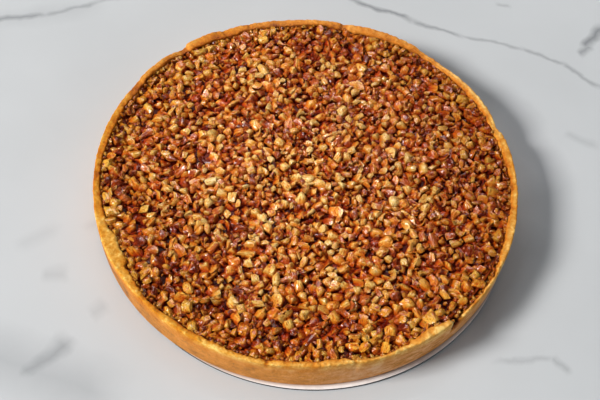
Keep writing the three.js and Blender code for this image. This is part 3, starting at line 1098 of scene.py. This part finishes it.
def pecanMaterial():
    material, tree, shader = newMaterial("glazedPecan")
    place = ownPlace(tree)
    grain = attributeNode(tree, "grain").outputs["Vector"]
    tone, skinned, skin = (attributeNode(tree, name).outputs["Fac"] for name in ("tone", "skinned", "skin"))
    apart = addNode(tree, "CombineXYZ", {"X": sums(tree, "MULTIPLY", tone, pecans["toneShift"])}).outputs[0]
    apart = vectorSums(tree, "ADD", grain, apart)
    blotch = noiseNode(tree, apart, *pecans["blotches"])
    fine = noiseNode(tree, apart, *pecans["fine"])
    along = scaledPlace(tree, apart, pecans["ridgeScale"])
    ridges = noiseNode(tree, along, *pecans["ridgeNoise"])
    reach = addNode(tree, "VectorMath", {0: grain}, operation="LENGTH").outputs["Value"]
    edges = stretch(tree, reach, 0.85, 1.3, 0.0, 0.35)

    shade = sums(tree, "ADD", tone, fromNoise(tree, blotch, -0.45, 0.45))
    shade = sums(tree, "SUBTRACT", shade, edges)
    flesh = rampColour(tree, shade, pecans["fleshColours"])
    rind = rampColour(tree, shade, pecans["skinColours"])
    covered = sums(tree, "MULTIPLY", stretch(tree, skin, 0, 1, 0.35, 1.0), skinned)
    covered = sums(tree, "ADD", covered, fromNoise(tree, fine, -0.2, 0.2))
    colour = blendColours(tree, stretch(tree, covered, 0.3, 0.75), flesh, rind)

    # The colour is darker and redder low down and in the creases: partly syrup that gathers in gaps and
    # creases and takes the green and blue out of what it covers, partly painted shade.
    height = heightOf(tree, place)
    low = overBand(tree, height, pecans["syrupAndShadeBand"], 1.0, 0.0)
    crease = stretch(tree, ridges, 0.3, 0.48, 0.7, 0.0)
    soaked = rampColour(tree, sums(tree, "MAXIMUM", low, crease), pecans["syrupAndShadeColours"])
    colour = blendColours(tree, 1.0, colour, soaked, "MULTIPLY")
    # Painted shade: the pieces grow deeper and more saturated towards the rim, so the middle looks paler, as
    # under a broad sheen.
    outerPaintedShade = overBand(tree, distanceOut(tree, place), pecans["outerPaintedShadeBand"])
    colour = blendColours(tree, outerPaintedShade, colour, pecans["outerPaintedShade"], "MULTIPLY")
    # Painted shade: the pieces darken towards the back right, the side away from the key light.
    side = {0: place, 1: pecans["sidePaintedShadeWay"]}
    side = addNode(tree, "VectorMath", side, operation="DOT_PRODUCT").outputs["Value"]
    sidePaintedShade = overBand(tree, side, pecans["sidePaintedShadeBand"])
    colour = blendColours(tree, sidePaintedShade, colour, pecans["sidePaintedShade"], "MULTIPLY")
    # Near-black low in the gaps between the pieces: partly syrup, partly painted shade.
    deep = overBand(tree, height, pecans["deepBand"], 0.9, 0.0)
    relief = sums(tree, "ADD", sums(tree, "ADD", ridges, ridges), fine)
    setInputs(tree, shader, {
        "Base Color": blendColours(tree, deep, colour, pecans["deep"]),
        "Roughness": fromNoise(tree, blotch, 0.25, 0.45),
        "Specular IOR Level": 0.1,
        "Specular Tint": (1.0, 0.8, 0.6, 1),
        "Coat Weight": overBand(tree, height, pecans["coatBand"], 0.15, 0.68),
        "Coat Roughness": 0.14,
        "Coat Normal": bump(tree, noiseNode(tree, along, *pecans["wetNoise"]), 0.5, 0.001),
        "Normal": bump(tree, relief, 0.9, 0.0013),
    })
    return material


def pieceValues(draw, count):
    tones = draw.uniform(size=count)
    skinned = draw.uniform(size=count) < pecans["skinned"]
    return {"tone": tones, "skinned": skinned.astype(float)}


def followRim(rise):
    return pecans["rimShare"] * np.clip(rise, *pecans["rimLimits"])


def onCircle(out, around):
    return np.stack([out * np.cos(around), out * np.sin(around)], 1)


def layPieces(draw, layer, shapes, solids, material):
    # Lays one layer of pecans, and gives where they lie, for the bits that go between them.
    name, fill, meanLength, spread, shortest, longest, squeeze, tilt, top, topSpread = layer
    lengths = meanLength * np.exp(draw.normal(scale=spread, size=pecans["drawn"]))
    halves, kinds, angles = drawPieces(draw, np.clip(lengths, shortest, longest), tilt)
    sides = np.hypot(halves[:, 1] * np.cos(angles[:, 0]), halves[:, 2] * np.sin(angles[:, 0]))
    covered = np.cumsum(math.pi * halves[:, 0] * sides)
    count = int(np.searchsorted(covered, math.pi * pecans["reach"] ** 2 * fill))
    halves, kinds, angles, sides = halves[:count], kinds[:count], angles[:count], sides[:count]

    spiral = np.arange(count) + 0.5
    out = (pecans["reach"] - pecans["startInside"]) * np.sqrt(spiral / count)
    places = onCircle(out, spiral * math.pi * (3 - math.sqrt(5)))  # a golden turn each
    places += draw.normal(scale=pecans["startJitter"], size=(count, 2))
    places = spreadOut(places, angles[:, 2], halves[:, 0], sides, squeeze)

    size, swell = pecans["swell"]
    wave = noiseAt(np.c_[places, np.zeros(count)], size, seed=3)
    tops = top + draw.normal(scale=topSpread, size=count) + swell * wave
    rise = innerEdge(np.degrees(bearingOf(places)) % 360)[1]
    beside = smoothStep(*pecans["edgeBand"], np.hypot(*places.T))
    tops += (pecans["edgeRise"] + followRim(rise)) * beside
    heights = tops - topsOf(solids, kinds, halves, angles)
    values = pieceValues(draw, count)
    scatterPieces(name, np.c_[places, heights], halves, kinds, angles, values, shapes, material)
    print(name, "laid:", count)
    return places, angles[:, 2], halves[:, 0], sides


def layBits(draw, spots, room, shapes, solids, material):
    # Lays small bits at the spots, and a ring of them along the rim.
    ring = pecans["ringBits"]
    around = np.linspace(0, 2 * math.pi, ring, endpoint=False)
    around += draw.normal(scale=pecans["ringTurn"], size=ring)
    edge, rise = innerEdge(np.degrees(around) % 360)
    out = edge + pecans["overlap"] - draw.uniform(*pecans["ringInside"], size=ring)
    spots = np.r_[spots, onCircle(out, around)]
    count = len(spots)
    room = np.r_[room, np.full(ring, pecans["bitHalf"][1])]
    lengths = 2 * np.clip(room * draw.uniform(*pecans["bitShare"], size=count), *pecans["bitHalf"])
    halves, kinds, angles = drawPieces(draw, lengths, pecans["bitTilt"])
    tops = draw.uniform(*pecans["bitTop"], size=count)
    tops[-ring:] = draw.uniform(*pecans["ringTop"], size=ring) + followRim(rise)
    heights = tops - topsOf(solids, kinds, halves, angles)
    values = pieceValues(draw, count)
    scatterPieces("pecanBits", np.c_[spots, heights], halves, kinds, angles, values, shapes, material)
    print("small bits laid:", count)


def addPecans():
    draw = np.random.default_rng(pecans["seed"])
    shapes = bpy.data.collections.new("pecanShapes")
    bpy.context.scene.collection.children.link(shapes)
    solids = []
    for index in range(pecans["shapes"]):
        piece, points = pecanShape(index, draw)
        solids.append(points)
        for home in piece.users_collection:
            home.objects.unlink(piece)
        shapes.objects.link(piece)

    material = pecanMaterial()
    for layer in pecans["layers"]:
        laid = layPieces(draw, layer, shapes, solids, material)
    spots, room = gapsBetween(draw, *laid)  # between the pieces of the top layer
    layBits(draw, spots, room, shapes, solids, material)

    for piece in list(shapes.objects):
        bpy.data.objects.remove(piece)
    bpy.data.collections.remove(shapes)


addPecans()
print("pecans made")
